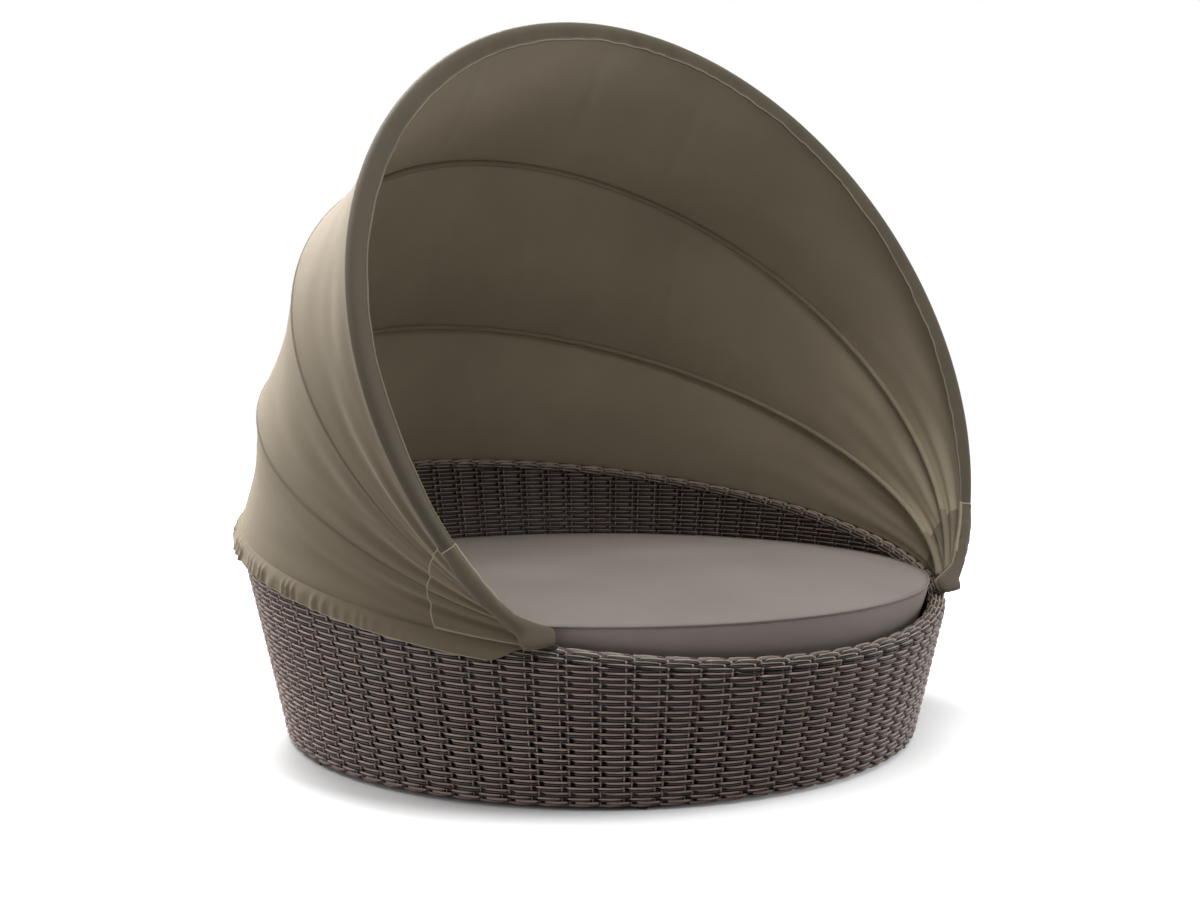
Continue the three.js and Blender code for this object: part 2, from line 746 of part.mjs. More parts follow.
// Zip pull: a slider over the tape with a tab that hangs from it
const pullShare = (zipShares[0] + zipShares[1]) / 2;
const pullRadius = THREE.MathUtils.lerp(cushionFootRadius, sideMiddle[0], pullShare);
const pullZ = THREE.MathUtils.lerp(cushionFootZ, sideMiddle[1], pullShare);
const sideLean = Math.atan2(sideMiddle[0] - cushionFootRadius, sideMiddle[1] - cushionFootZ);
const slider = box(pullDepth, pullWidth, pullHeight).translate(pullDepth / 2 + fit, 0, 0);
const tab = box(tabDepth, tabWidth, tabLength)
  .translate(pullDepth + fit, 0, -tabLength / 2);
const pull = addPiece('zip_pull', join(slider, tab), steel);
const pullAngle = right - radians(zipSpanDegrees / 2) + turn / cushionSteps;
pull.position.set(pullRadius * Math.cos(pullAngle), pullRadius * Math.sin(pullAngle), pullZ);
pull.rotation.set(0, sideLean, pullAngle, 'ZYX');

export default daybed;
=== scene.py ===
import math

import bmesh
import bpy
from mathutils import Matrix, Vector, noise


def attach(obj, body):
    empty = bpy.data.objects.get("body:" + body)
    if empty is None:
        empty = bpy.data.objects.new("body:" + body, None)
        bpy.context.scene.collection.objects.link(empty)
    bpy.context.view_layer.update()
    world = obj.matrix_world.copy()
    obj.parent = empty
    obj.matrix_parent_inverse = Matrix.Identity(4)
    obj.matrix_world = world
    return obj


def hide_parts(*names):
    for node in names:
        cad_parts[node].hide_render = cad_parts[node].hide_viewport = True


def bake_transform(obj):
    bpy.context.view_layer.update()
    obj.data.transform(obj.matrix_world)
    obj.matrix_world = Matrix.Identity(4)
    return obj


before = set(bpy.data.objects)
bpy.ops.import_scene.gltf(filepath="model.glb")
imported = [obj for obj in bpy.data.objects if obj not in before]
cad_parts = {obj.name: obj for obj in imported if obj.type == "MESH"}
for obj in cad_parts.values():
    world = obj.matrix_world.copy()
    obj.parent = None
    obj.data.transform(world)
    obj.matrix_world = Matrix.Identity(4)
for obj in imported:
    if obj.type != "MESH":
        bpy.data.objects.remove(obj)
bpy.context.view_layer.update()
turn = 2 * math.pi

# Camera, floor and light. The camera stands low in front of the open side, a little to the
# left. Large soft lamps stand behind and hang overhead, and the pale room and two weak lamps at
# the sides fill in the shadows. For the camera the floor glows more away from the object and
# not at all at its foot: a painted soft shadow round the basket.
view_azimuth = math.radians(-36.11)
view_elevation = math.radians(2.887)
back = Vector((
    math.sin(view_azimuth) * math.cos(view_elevation),
    -math.cos(view_azimuth) * math.cos(view_elevation),
    math.sin(view_elevation),
))
camera = bpy.data.objects.new("camera", bpy.data.cameras.new("camera"))
camera.data.lens = 40.58
camera.data.sensor_width = 36
camera.location = (-2.003, -2.741, 0.844)
camera.rotation_euler = (-back).to_track_quat("-Z", "Y").to_euler()
bpy.context.scene.collection.objects.link(camera)
bpy.context.scene.camera = camera
bpy.context.scene.view_settings.view_transform = "Standard"


def show(name, bm, *materials):
    """A finished mesh as an object with smooth faces."""
    mesh = bpy.data.meshes.new(name)
    for face in bm.faces:
        face.smooth = True
    bm.to_mesh(mesh)
    bm.free()
    for material in materials:
        mesh.materials.append(material)
    piece = bpy.data.objects.new(name, mesh)
    bpy.context.scene.collection.objects.link(piece)
    return piece


def add_node(nodes, kind, settings=()):
    """A node with the given sockets set."""
    node = nodes.new(f"ShaderNode{kind}")
    for socket, value in dict(settings).items():
        node.inputs[socket].default_value = value
    return node


def add_maths(nodes, operation, settings=()):
    node = add_node(nodes, "Math", settings)
    node.operation = operation
    return node


def join(source, output, target, entry):
    """Links an output of one node to an input of another."""
    source.id_data.links.new(source.outputs[output], target.inputs[entry])


def start_finish(name, roughness, metallic=0.0):
    """A new material with its nodes and its shader."""
    material = bpy.data.materials.new(name)
    material.use_nodes = True
    shader = material.node_tree.nodes["Principled BSDF"]
    shader.inputs["Roughness"].default_value = roughness
    shader.inputs["Metallic"].default_value = metallic
    return material, material.node_tree.nodes, shader


def linear(red, green, blue):
    """A colour as a paint chart gives it, 0 to 255, in the shader's linear scale."""
    return tuple((part / 255) ** 2.2 for part in (red, green, blue)) + (1.0,)


def add_ramp(nodes, dark, pale, positions=(0.0, 1.0)):
    """A node that turns a share into a colour from dark to pale."""
    ramp = nodes.new("ShaderNodeValToRGB")
    for element, position, colour in zip(ramp.color_ramp.elements, positions, (dark, pale)):
        element.position = position
        element.color = linear(*colour)
    return ramp


floor_mesh = bmesh.new()
bmesh.ops.create_grid(floor_mesh, x_segments=1, y_segments=1, size=14)
floor = show("floor", floor_mesh)
floor_paint, nodes, shader = start_finish("white_floor", 0.9)
shader.inputs["Specular IOR Level"].default_value = 0.1
seen = add_node(nodes, "LightPath")
paper = add_node(nodes, "MapRange", {"To Min": 0.42, "To Max": 0.78})
join(seen, "Is Camera Ray", paper, "Value")
join(paper, "Result", shader, "Base Color")
place = add_node(nodes, "TexCoord")
reach = nodes.new("ShaderNodeVectorMath")
reach.operation = "DISTANCE"
reach.inputs[1].default_value = (-0.08, 0.06, 0)
away = add_node(
    nodes, "MapRange", {"From Min": 0.72, "From Max": 1.7, "To Min": 0.36, "To Max": 0.9},
)
away.interpolation_type = "SMOOTHSTEP"
# Painted contact shadow: the floor's glow falls to nothing close round the basket's foot, its middle
# set a little to the left and back.
painted_contact_shadow = add_node(nodes, "MapRange", {"From Min": 0.775, "From Max": 0.86})
beside = add_maths(nodes, "MULTIPLY")
lift = add_maths(nodes, "MULTIPLY")
join(place, "Object", reach, 0)
join(reach, "Value", away, "Value")
join(reach, "Value", painted_contact_shadow, "Value")
join(away, "Result", beside, 0)
join(painted_contact_shadow, "Result", beside, 1)
join(seen, "Is Camera Ray", lift, 0)
join(beside, 0, lift, 1)
join(lift, 0, shader, "Emission Strength")
shader.inputs["Emission Color"].default_value = (1, 1, 1, 1)
floor.data.materials.append(floor_paint)

room = bpy.data.worlds.new("room")
room.use_nodes = True
bpy.context.scene.world = room
nodes = room.node_tree.nodes
seen = add_node(nodes, "LightPath")
seen_or_mirrored = add_maths(nodes, "MAXIMUM")
strength = add_node(nodes, "MapRange", {"To Min": 0.18, "To Max": 1.0})
background = nodes["Background"]
background.inputs["Color"].default_value = (1, 1, 1, 1)
join(seen, "Is Camera Ray", seen_or_mirrored, 0)
join(seen, "Is Glossy Ray", seen_or_mirrored, 1)
join(seen_or_mirrored, 0, strength, "Value")
join(strength, "Result", background, "Strength")

lamp_aim = Vector((0, 0, 0.5))
lamps = [
    ("overhead", (-0.1, -1.5, 4.1), 3.0, 133),
    ("left_behind", (-2.7, 2.7, 4.2), 2.4, 128),
    ("behind", (0.6, 3.6, 4.2), 2.4, 300),
    ("high_behind", (-1.0, 3.2, 5.4), 2.0, 330),
    ("right_side", (3.4, -1.6, 0.6), 1.0, 22),
    ("left_side", (-4.4, 0.4, 1.3), 2.0, 28),
]
for name, place, width, power in lamps:
    lamp = bpy.data.lights.new(name, "AREA")
    lamp.shape = "DISK"
    lamp.size = width
    lamp.energy = power
    holder = bpy.data.objects.new(name, lamp)
    holder.location = place
    toward = lamp_aim - holder.location
    holder.rotation_euler = toward.to_track_quat("-Z", "Y").to_euler()
    bpy.context.scene.collection.objects.link(holder)

# Metal frame: bent and welded aluminium tube and bar with a dark powder coat, which is
# slightly pebbled. The rings and staves are inside the woven wall, the deck under the
# cushion, and the bows inside the canopy's channels.
def mottled_finish(name, roughness, metallic, scale, dark, pale, stretch=(1, 1, 1)):
    """A finish whose tone varies by noise on the object's own coordinates."""
    material, nodes, shader = start_finish(name, roughness, metallic)
    place = add_node(nodes, "TexCoord")
    along = add_node(nodes, "Mapping", {"Scale": stretch})
    tone = add_node(nodes, "TexNoise", {"Scale": scale})
    ramp = add_ramp(nodes, dark, pale)
    join(place, "Object", along, "Vector")
    join(along, "Vector", tone, "Vector")
    join(tone, "Fac", ramp, "Fac")
    join(ramp, "Color", shader, "Base Color")
    return material


def add_grain(material, scale, strength, height):
    """A fine, even relief over the whole surface."""
    nodes = material.node_tree.nodes
    place = add_node(nodes, "TexCoord")
    grain = add_node(nodes, "TexNoise", {"Scale": scale})
    bump = add_node(nodes, "Bump", {"Strength": strength, "Distance": height})
    join(place, "Object", grain, "Vector")
    join(grain, "Fac", bump, "Height")
    join(bump, "Normal", nodes["Principled BSDF"], "Normal")


powder_coat = mottled_finish("powder_coat", 0.5, 0.35, 9, (52, 49, 46), (70, 66, 62))
add_grain(powder_coat, 900, 0.25, 0.0002)


def give_finish(node, material):
    cad_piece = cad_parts[node]
    cad_piece.data.materials.clear()
    cad_piece.data.materials.append(material)


frame_pieces = ["base_ring", "rim_ring", "deck_ring", "deck_beam", "centre_leg"]
frame_pieces += [f"stave_{number}" for number in range(1, 13)]
frame_pieces += [f"slat_{number}" for number in range(1, 8)]
frame_pieces += ["pivot_bracket_left", "pivot_bracket_right"]
frame_pieces += ["bow_front", "bow_middle", "bow_rear"]
for node in frame_pieces:
    give_finish(node, powder_coat)

# Plastic feet and pivot spacers: moulded in black, with a fine matt grain.
moulded_black = mottled_finish("moulded_black", 0.6, 0.0, 40, (34, 33, 32), (50, 48, 46))
add_grain(moulded_black, 1400, 0.3, 0.0001)
for node in ["centre_foot", *(f"glide_{number}" for number in range(1, 7))]:
    give_finish(node, moulded_black)
for side in ("left", "right"):
    give_finish(f"inner_spacer_{side}", moulded_black)
    give_finish(f"outer_spacer_{side}", moulded_black)

# Pivot pins, their nuts and the zip pull: plain steel, turned or stamped, with fine
# brushing along the surface.
plain_steel = mottled_finish(
    "plain_steel", 0.32, 1.0, 1, (150, 150, 148), (186, 186, 183), (60, 900, 900),
)
for side in ("left", "right"):
    give_finish(f"pivot_pin_{side}", plain_steel)
    give_finish(f"pivot_nut_{side}", plain_steel)
give_finish("zip_pull", plain_steel)

# Woven outer wall: pairs of half-round synthetic strands, the upper one proud of the lower.
# Each pair runs in front of the stakes and dips behind one of them in every repeat, in turn
# with its neighbours, which leaves a short piece of stake and a dark hole at each dip.
basket_radius = 0.774
wall_flare = 0.228
wall_lean = math.atan(wall_flare)
wall_depth = 0.04633
rim_height = 0.447
rim_slope = 0.181
roll_radius = wall_depth / 2
base_roll_height = 0.02633
mean_rim_height = 0.324
outer_repeats = 80
strand_pitch = 0.00575
strand_round = 0.0040
pair_shift = -0.25
lower_set_back = 0.0019
pair_halves = (0.8, 1.04)
stake_shares = (-0.045, -0.295)
stake_half = 0.0024
stake_steps = ((0.0, 0.0082), (0.35, 0.0034), (1.65, 0.0034), (2.0, 0.0082))
strand_knots = (
    (-0.17, 0.0010, 0.0025),
    (-0.11, 0.0026, 0.0024),
    (-0.055, 0.0056, 0.0019),
    (0.0, 0.0080, 0.0015),
    (0.055, 0.0084, 0.0014),
    (0.10, 0.0066, 0.0017),
    (0.14, 0.0036, 0.0022),
    (0.19, 0.0012, 0.0025),
    (0.34, 0.0006, 0.0026),
    (0.52, 0.0, 0.0026),
    (0.68, 0.0005, 0.0026),
)
shade_sheet_depth = 0.0098
shade_sheet_thickness = 0.0004
shade_sheet_foot = 0.042
shade_sheet_top = 0.66
shade_sheet_sides = 160
under_rim = 0.0005
wall_lines = 70
stake_lines = 72


def skin_radius(height):
    return basket_radius + wall_flare * height


def round_point(angle, radius, height):
    return Vector((radius * math.cos(angle), radius * math.sin(angle), height))


def rim_point(angle, inset, drop):
    """A place on the sloping plane of the rim, inset from the wall's outer face."""
    level = rim_height - drop
    rise = rim_slope * math.sin(angle)
    radius = (basket_radius - inset + wall_flare * level) / (1 - wall_flare * rise)
    return round_point(angle, radius, level + rise * radius)


def outer_wall(angle, level, depth):
    height = base_roll_height + level
    return round_point(angle, skin_radius(height) - depth / math.cos(wall_lean), height)


def wall_level(angle, line):
    """How high a strand lies: the rows spread a little where the wall is higher."""
    spread = math.sqrt(rim_point(angle, 0, 0).z / mean_rim_height)
    return line * strand_pitch * spread


def mapped_mesh(layer):
    """A new mesh and its layer of places on the flat strand or cloth."""
    bm = bmesh.new()
    return bm, bm.loops.layers.uv.new(layer)


def grid(bm, columns, rows):
    """The points of a new sheet of faces, row by row, for the caller to place."""
    return bmesh.ops.create_grid(bm, x_segments=columns, y_segments=rows, size=1)["verts"]


def ribbon(bm, uv, columns, number):
    """A half-round strand through columns of three points, one across its face."""
    made = grid(bm, 2, len(columns) - 1)
    along = 0.0
    marks = {}
    for index, vert in enumerate(made):
        row, across = divmod(index, 3)
        vert.co = columns[row][across]
        if across == 0 and row:
            along += (columns[row][1] - columns[row - 1][1]).length
        marks[vert] = (along, number + across / 2)
    for face in {face for vert in made for face in vert.link_faces}:
        for loop in face.loops:
            loop[uv].uv = marks[loop.vert]


def strand_row(bm, uv, place, level_at, line, repeats, side):
    """One strand all the way round. Even lines are the lower strands of their pairs."""
    upper = line % 2
    under = pair_shift * (line // 2 % 2)
    columns = []
    for repeat in range(repeats):
        for share, depth, half in strand_knots:
            angle = turn * (repeat + under + share) / repeats
            level = level_at(angle, line + 0.5)
            half *= side * pair_halves[upper]
            crown = depth if upper else depth + lower_set_back
            edges = (level - half, level, level + half)
            depths = (crown + strand_round, crown, crown + strand_round)
            columns.append([place(angle, *pair) for pair in zip(edges, depths)])
    columns.append(columns[0])
    ribbon(bm, uv, columns, line)


def strand_rows(place, level_at, lines, repeats, side=1, parity=None):
    """Every strand of a woven face, two to a pair."""
    bm, uv = mapped_mesh("strand")
    for line in lines:
        if parity is None or line // 2 % 2 == parity:
            strand_row(bm, uv, place, level_at, line, repeats, side)
    bmesh.ops.remove_doubles(bm, verts=bm.verts, dist=0.00002)
    return bm


def stakes(place, level_at, lines, repeats, side=1):
    """The upright strands. Each comes forward only where its own pairs dip behind it."""
    bm, uv = mapped_mesh("strand")
    for repeat in range(repeats):
        for order, share in enumerate(stake_shares):
            angle = turn * (repeat + share) / repeats
            half = side * stake_half / basket_radius
            columns = []
            for line in range(0, lines + 1, 4):
                for step, depth in stake_steps:
                    level = level_at(angle, min(line + 2 * order + step, lines))
                    columns.append([
                        place(angle + half, level, depth + strand_round),
                        place(angle, level, depth),
                        place(angle - half, level, depth + strand_round),
                    ])
            ribbon(bm, uv, columns, 2 * (repeat * len(stake_shares) + order) + 1)
    return bm


def trim_above_rim(bm):
    """Cuts the rows off where the sloping rim covers them."""
    bmesh.ops.bisect_plane(
        bm,
        geom=bm.verts[:] + bm.edges[:] + bm.faces[:],
        plane_co=(0, 0, rim_height - roll_radius - under_rim),
        plane_no=Vector((0, -rim_slope, 1)).normalized(),
        clear_outer=True,
    )


def thicken(piece, depth, offset=-1.0):
    """Gives a cloth or skin its thickness: inwards at an offset of -1, outwards at 1."""
    skin = piece.modifiers.new("thickness", "SOLIDIFY")
    skin.thickness = depth
    skin.offset = offset
    return skin


def add_to_weave(piece, material):
    piece.data.materials.append(material)
    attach(piece, "base")


def painted_shade_sheet(name, foot, inset):
    """A near-black sheet behind the weave, painted shade that shows only as a dark floor in its
    holes.
    """
    bm = bmesh.new()
    bmesh.ops.create_cone(
        bm, cap_ends=False, segments=shade_sheet_sides, radius1=skin_radius(foot) - inset,
        radius2=skin_radius(shade_sheet_top) - inset, depth=shade_sheet_top - foot,
        matrix=Matrix.Translation((0, 0, (foot + shade_sheet_top) / 2)),
    )
    trim_above_rim(bm)
    piece = show(name, bm)
    thicken(piece, shade_sheet_thickness)
    add_to_weave(piece, weave_painted_shade)


# Painted shade across each pair of strands: dark at their edges and over the whole lower strand,
# where the shade between the strands falls.
painted_shade_levels = (
    (0.16, 0.08), (0.30, 0.17), (0.42, 0.12), (0.49, 0.05),
    (0.53, 0.06), (0.61, 0.24), (0.70, 0.92), (0.82, 1.0), (0.94, 0.85),
)


def strand_finish(name, dark, pale, glint):
    """Extruded synthetic strand: a fine grain along it, each strand in its own tone.

    Painted shade darkens each strand's edges, and the lower strand of each pair as a whole."""
    material, nodes, shader = start_finish(name, 0.48)
    uv = add_node(nodes, "UVMap")
    uv.uv_map = "strand"
    parts = add_node(nodes, "SeparateXYZ")
    whole = add_maths(nodes, "FLOOR")
    own_tone = add_node(nodes, "TexWhiteNoise")
    own_tone.noise_dimensions = "1D"
    stretch = add_node(nodes, "Mapping", {"Scale": (45, 7, 1)})
    streaks = add_node(nodes, "TexNoise", {"Scale": 1, "Detail": 4})
    mixed = add_node(nodes, "Mix", {"Factor": 0.78})
    ramp = add_ramp(nodes, dark, pale, (0.3, 0.7))
    bump = add_node(nodes, "Bump", {"Strength": 0.5, "Distance": 0.0004})
    join(uv, "UV", parts, 0)
    join(parts, "Y", whole, 0)
    join(whole, 0, own_tone, "W")
    join(uv, "UV", stretch, "Vector")
    join(stretch, "Vector", streaks, "Vector")
    join(own_tone, "Value", mixed, "A")
    join(streaks, "Fac", mixed, "B")
    join(mixed, "Result", ramp, "Fac")
    pair_share = add_maths(nodes, "MULTIPLY", {1: 0.5})
    across = add_maths(nodes, "FRACT")
    painted_shade_ramp = add_node(nodes, "ValToRGB")
    painted_shade_ramp.color_ramp.elements[0].color = (0.06, 0.055, 0.055, 1)
    painted_shade_ramp.color_ramp.elements[1].color = (0.5, 0.48, 0.47, 1)
    for position, level in painted_shade_levels:
        painted_shade_ramp.color_ramp.elements.new(position).color = (level, level, level, 1)
    painted_shade_mix = add_node(nodes, "Mix", {"Factor": 1})
    painted_shade_mix.data_type = "RGBA"
    painted_shade_mix.blend_type = "MULTIPLY"
    join(parts, "Y", pair_share, 0)
    join(pair_share, 0, across, 0)
    join(across, 0, painted_shade_ramp, "Fac")
    join(ramp, "Color", painted_shade_mix, "A")
    join(painted_shade_ramp, "Color", painted_shade_mix, "B")
    join(painted_shade_mix, "Result", shader, "Base Color")
    join(streaks, "Fac", bump, "Height")
    join(bump, "Normal", shader, "Normal")
    shader.inputs["Specular IOR Level"].default_value = glint
    return material


# A near-black finish for the sheets behind the weave: painted shade for the dark hollow seen through
# its holes.
weave_painted_shade = strand_finish("weave_painted_shade", (14, 11, 10), (28, 22, 20), 0.2)
outer_strand = strand_finish("grey_brown_strand", (136, 114, 106), (195, 168, 157), 0.6)
painted_shade_sheet("outer_weave_painted_shade", shade_sheet_foot, shade_sheet_depth / math.cos(wall_lean))
for parity, letter in ((0, "a"), (1, "b")):
    bm = strand_rows(outer_wall, wall_level, range(wall_lines), outer_repeats, parity=parity)
    trim_above_rim(bm)
    strands = show(f"outer_strands_{letter}", bm)
    add_to_weave(strands, outer_strand)
    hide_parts("outer_weave")
bm = stakes(outer_wall, wall_level, stake_lines, outer_repeats)
trim_above_rim(bm)
add_to_weave(show("outer_stakes", bm), outer_strand)

# Inner wall: the same weave on the inside, from the deck up to the rim. It lies in the
# canopy's shade, and its strand is painted a little darker than the outer wall's: painted shade.
inner_repeats = 76
inner_foot = 0.2
inner_shade_sheet_foot = 0.206
# The outer wall's strand painted a little darker: painted shade.
inner_strand = strand_finish("inner_strand", (122, 103, 94), (178, 153, 141), 0.5)
inner_inset = wall_depth - shade_sheet_depth / math.cos(wall_lean)
painted_shade_sheet("inner_weave_painted_shade", inner_shade_sheet_foot, inner_inset)


def inner_wall(angle, level, depth):
    height = inner_foot + level
    radius = skin_radius(height) - wall_depth + depth / math.cos(wall_lean)
    return round_point(angle, radius, height)


def inner_level(angle, line):
    return line * strand_pitch


bm = strand_rows(inner_wall, inner_level, range(wall_lines), inner_repeats, side=-1)
trim_above_rim(bm)
inner_strands = show("inner_strands", bm)
bm = stakes(inner_wall, inner_level, stake_lines, inner_repeats, side=-1)
trim_above_rim(bm)
inner_stakes = show("inner_stakes", bm)
for piece in (inner_strands, inner_stakes):
    add_to_weave(piece, inner_strand)
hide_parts("inner_weave")

# Woven rim: the weave is carried over the top of the wall round the rim ring, and its
# strands there are a little broader and painted a little darker than the wall's: painted shade
# that tones down the light on the rim's top.
rim_lines = 15
rim_from = math.radians(-10)
rim_to = math.radians(190)


def roll_point(centre, angle, around, reach):
    """A place round one of the basket's two rolls."""
    out = round_point(angle, 1, 0)
    return centre + out * reach * math.cos(around) + Vector((0, 0, reach * math.sin(around)))


def rim_roll(angle, around, depth):
    centre = rim_point(angle, roll_radius, roll_radius)
    return roll_point(centre, angle, around, roll_radius - depth)


def rim_arc(angle, level, depth):
    return rim_roll(angle, rim_from + level / roll_radius, depth)


def rim_level(angle, line):
    return line * (rim_to - rim_from) * roll_radius / rim_lines


# The wall's strand painted a little darker: painted shade on the rim's lit top.
rim_strand = strand_finish("rim_strand", (116, 100, 89), (186, 167, 151), 0.6)
bm = strand_rows(rim_arc, rim_level, range(rim_lines), outer_repeats)
rim_strands = show("rim_strands", bm)
rim_stakes = show("rim_stakes", stakes(rim_arc, rim_level, rim_lines, outer_repeats))
for piece in (rim_strands, rim_stakes):
    add_to_weave(piece, rim_strand)
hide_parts("rim_braid")

# Woven foot: below, the weave turns in round the base ring, so that the basket's lower
# edge is rounded and stands a few millimetres off the floor on its glides.
foot_lines = 12
foot_to = math.radians(-155)
foot_back_depth = 0.0052
foot_back_steps = 10


def foot_arc(angle, level, depth):
    centre = round_point(angle, skin_radius(base_roll_height) - roll_radius, base_roll_height)
    return roll_point(centre, angle, foot_to + level / roll_radius, roll_radius - depth)


def foot_level(angle, line):
    return -line * foot_to * roll_radius / foot_lines


def spin_round(bm, points, steps):
    """Turns an open outline, given in the plane y = 0, once round the upright axis."""
    verts = [bm.verts.new(point) for point in points]
    edges = [bm.edges.new(pair) for pair in zip(verts, verts[1:])]
    bmesh.ops.spin(
        bm, geom=verts + edges, cent=(0, 0, 0), axis=(0, 0, 1), angle=turn,
        steps=steps, use_merge=True, use_duplicate=False,
    )


# A sheet of painted shade behind the foot's weave.
bm = bmesh.new()
foot_length = foot_level(0, foot_lines)
foot_levels = [foot_length * step / foot_back_steps for step in range(foot_back_steps + 1)]
spin_round(bm, [foot_arc(0.0, level, foot_back_depth) for level in foot_levels], shade_sheet_sides)
foot_back = show("foot_weave_painted_shade", bm)
thicken(foot_back, shade_sheet_thickness)
add_to_weave(foot_back, weave_painted_shade)

bm = strand_rows(foot_arc, foot_level, range(foot_lines), outer_repeats)
foot_strands = show("foot_strands", bm)
foot_stakes = show("foot_stakes", stakes(foot_arc, foot_level, foot_lines, outer_repeats))
for piece in (foot_strands, foot_stakes):
    add_to_weave(piece, outer_strand)
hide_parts("base_edge_roll")

# Canopy cloth: coated outdoor cloth in a plain weave. Three panels hang between the front
# sleeve, the two rods and the rim. They sag a little and pleat softly towards the pivots.
pivot_y = -0.606042
pivot_height = 0.359306
eye_rise = 0.016
cloth_over_tube = 0.0018
sleeve_meet = 0.009


def make_bow(lean_degrees, reach, eye_x, tube, front_body):
    rise = reach - eye_rise
    radius = (rise ** 2 + eye_x ** 2) / (2 * rise)
    centre = reach - radius
    lean = math.radians(lean_degrees)
    return {
        "radius": radius,
        "centre": centre,
        "tip": math.acos((eye_rise - centre) / radius),
        "up": Vector((0, math.sin(lean), math.cos(lean))),
        "front": Vector((0, -math.cos(lean), math.sin(lean))),
        "tube": tube,
        "body": front_body,
    }


pivot = Vector((0, pivot_y, pivot_height))
front_bow = make_bow(22.3, 1.444, 0.6241, 0.010, "bow_front_body")
middle_bow = make_bow(43.3, 1.477, 0.6011, 0.006, "bow_middle_body")
rear_bow = make_bow(64.4, 1.490, 0.5811, 0.006, "bow_rear_body")


def bow_frame(bow, share):
    """The middle of a bow's tube and the direction away from the arc's centre there."""
    around = share * bow["tip"]
    outward = Vector((math.sin(around), 0, 0)) + bow["up"] * math.cos(around)
    middle = pivot + bow["up"] * bow["centre"] + outward * bow["radius"]
    return middle, outward


crest_height = rim_height + rim_slope * pivot_y
crest_x = math.sqrt((skin_radius(crest_height) - roll_radius) ** 2 - pivot_y ** 2)
rim_turn = math.pi / 2 - math.atan2(pivot_y, crest_x)
rim_tilt = math.atan(rim_slope)
hem_seat = roll_radius + 0.0009
hem_seat_turn = 0.28 * math.pi


def cloth_edge(bow, share):
    """A panel's edge over a bow, or over the rim where there is no bow."""
    if bow is not None:
        middle, outward = bow_frame(bow, share)
        over = sleeve_meet if bow is front_bow else bow["tube"] + cloth_over_tube
        return middle + outward * over, outward
    angle = math.pi / 2 - share * rim_turn
    place = rim_roll(angle, hem_seat_turn, roll_radius - hem_seat)
    around = share * rim_turn
    outward = Vector((
        math.sin(around),
        math.cos(around) * math.cos(rim_tilt),
        math.cos(around) * math.sin(rim_tilt),
    ))
    return place, outward


cloth_edges = (front_bow, middle_bow, rear_bow, None)
panel_sets = ((0.009, 0.0), (0.0, 0.0), (0.0, 0.0))
bow_half_length = 1.97
cloth_thickness = 0.0012
sag_share = 0.045
sag_reach = 0.85
pleat_height = 0.0034
wave_height = 0.006
wrinkle_height = 0.0020
crease_places = ((-0.163, 0.034, 0.193), (-0.073, 0.063, 0.3), (-0.3, 0.05))
crease_slant = -0.065
crease_width = 0.009
crease_depth = 0.0045


def smooth(low, high, value):
    share = min(1.0, max(0.0, (value - low) / (high - low)))
    return share * share * (3 - 2 * share)


def panel_relief(panel, across, share, length):
    """How far the cloth stands out: sag, pleats near the pivots, slight waves and creases."""
    hold = 4 * across * (1 - across)
    sag = -sag_share * length * max(0.0, 1 - (share / sag_reach) ** 4) * hold
    near = smooth(0.45, 0.86, abs(share)) * (1 - smooth(0.93, 1.0, abs(share)))
    side = 1 if share > 0 else -1
    bend = 1.3 * noise.noise(Vector((panel * 7.1 + side, 2.2 * share, 0.4)))
    pleats = math.sin(turn * (1.6 * across + bend + 0.13 * panel))
    pleats += 0.5 * math.sin(turn * (3.1 * across - bend + 0.4 * side))
    waves = noise.noise(Vector((3.4 * share + 5 * panel, 2.3 * across, 1.7 * panel)))
    wrinkles = noise.noise(Vector((9 * share + 2.5 * across + 11 * panel, 3.1 * across, 4.2)))
    slanted = share + crease_slant * (across - 0.5)
    folds = sum(
        math.exp(-((slanted - place) / crease_width) ** 2) for place in crease_places[panel]
    )
    relief = pleat_height * near * pleats + wave_height * waves + wrinkle_height * wrinkles
    return sag + hold * (relief - crease_depth * folds)


def cloth_point(panel, across, share, lift=0.0):
    start, first_out = cloth_edge(cloth_edges[panel], share)
    end, last_out = cloth_edge(cloth_edges[panel + 1], share)
    chord = end - start
    length = chord.length
    start_set, end_set = panel_sets[panel]
    along = start_set + (length - start_set - end_set) * across
    outward = first_out.lerp(last_out, across).normalized()
    relief = panel_relief(panel, across, share, length) + lift
    return start + chord * (along / length) + outward * relief


def cloth_grid(name, panel, shares, acrosses, lift, edge_share=0.0):
    """Cloth between two bows as a grid; its uv is the place on the flat cloth in metres.

    Up to edge_share and next to the rim it is painted paler on both its sides, and along its other
    seams outside only: a painted highlight where the stitched edges catch the light."""
    bm, uv = mapped_mesh("cloth")
    columns = len(acrosses)
    made = grid(bm, columns - 1, len(shares) - 1)
    marks = {}
    for index, vert in enumerate(made):
        row, column = divmod(index, columns)
        vert.co = cloth_point(panel, acrosses[column], shares[row], lift)
        width = (made[index - column].co - vert.co).length
        marks[vert] = (width, shares[row] * bow_half_length, column)
    for face in bm.faces:
        for loop in face.loops:
            loop[uv].uv = marks[loop.vert][:2]
        along = max(abs(marks[vert][1]) for vert in face.verts)
        column = max(marks[vert][2] for vert in face.verts)
        last = column == columns - 1
        if (panel == 2 and last) or along < (edge_share + 0.0001) * bow_half_length:
            face.material_index = 4
        elif not edge_share and (last or (panel and column == 1)):
            face.material_index = 2
    # The inside finish is painted paler than the outside: painted light.
    inside = patch_inside_painted_light if edge_share else cloth_inside_painted_light
    outside_edges = (painted_edge_highlight, painted_edge_highlight, painted_edge_highlight)
    piece = show(name, bm, inside, canopy_cloth, inside, *outside_edges)
    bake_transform(piece)
    thicken(piece, cloth_thickness, 0).material_offset = 1
    return piece


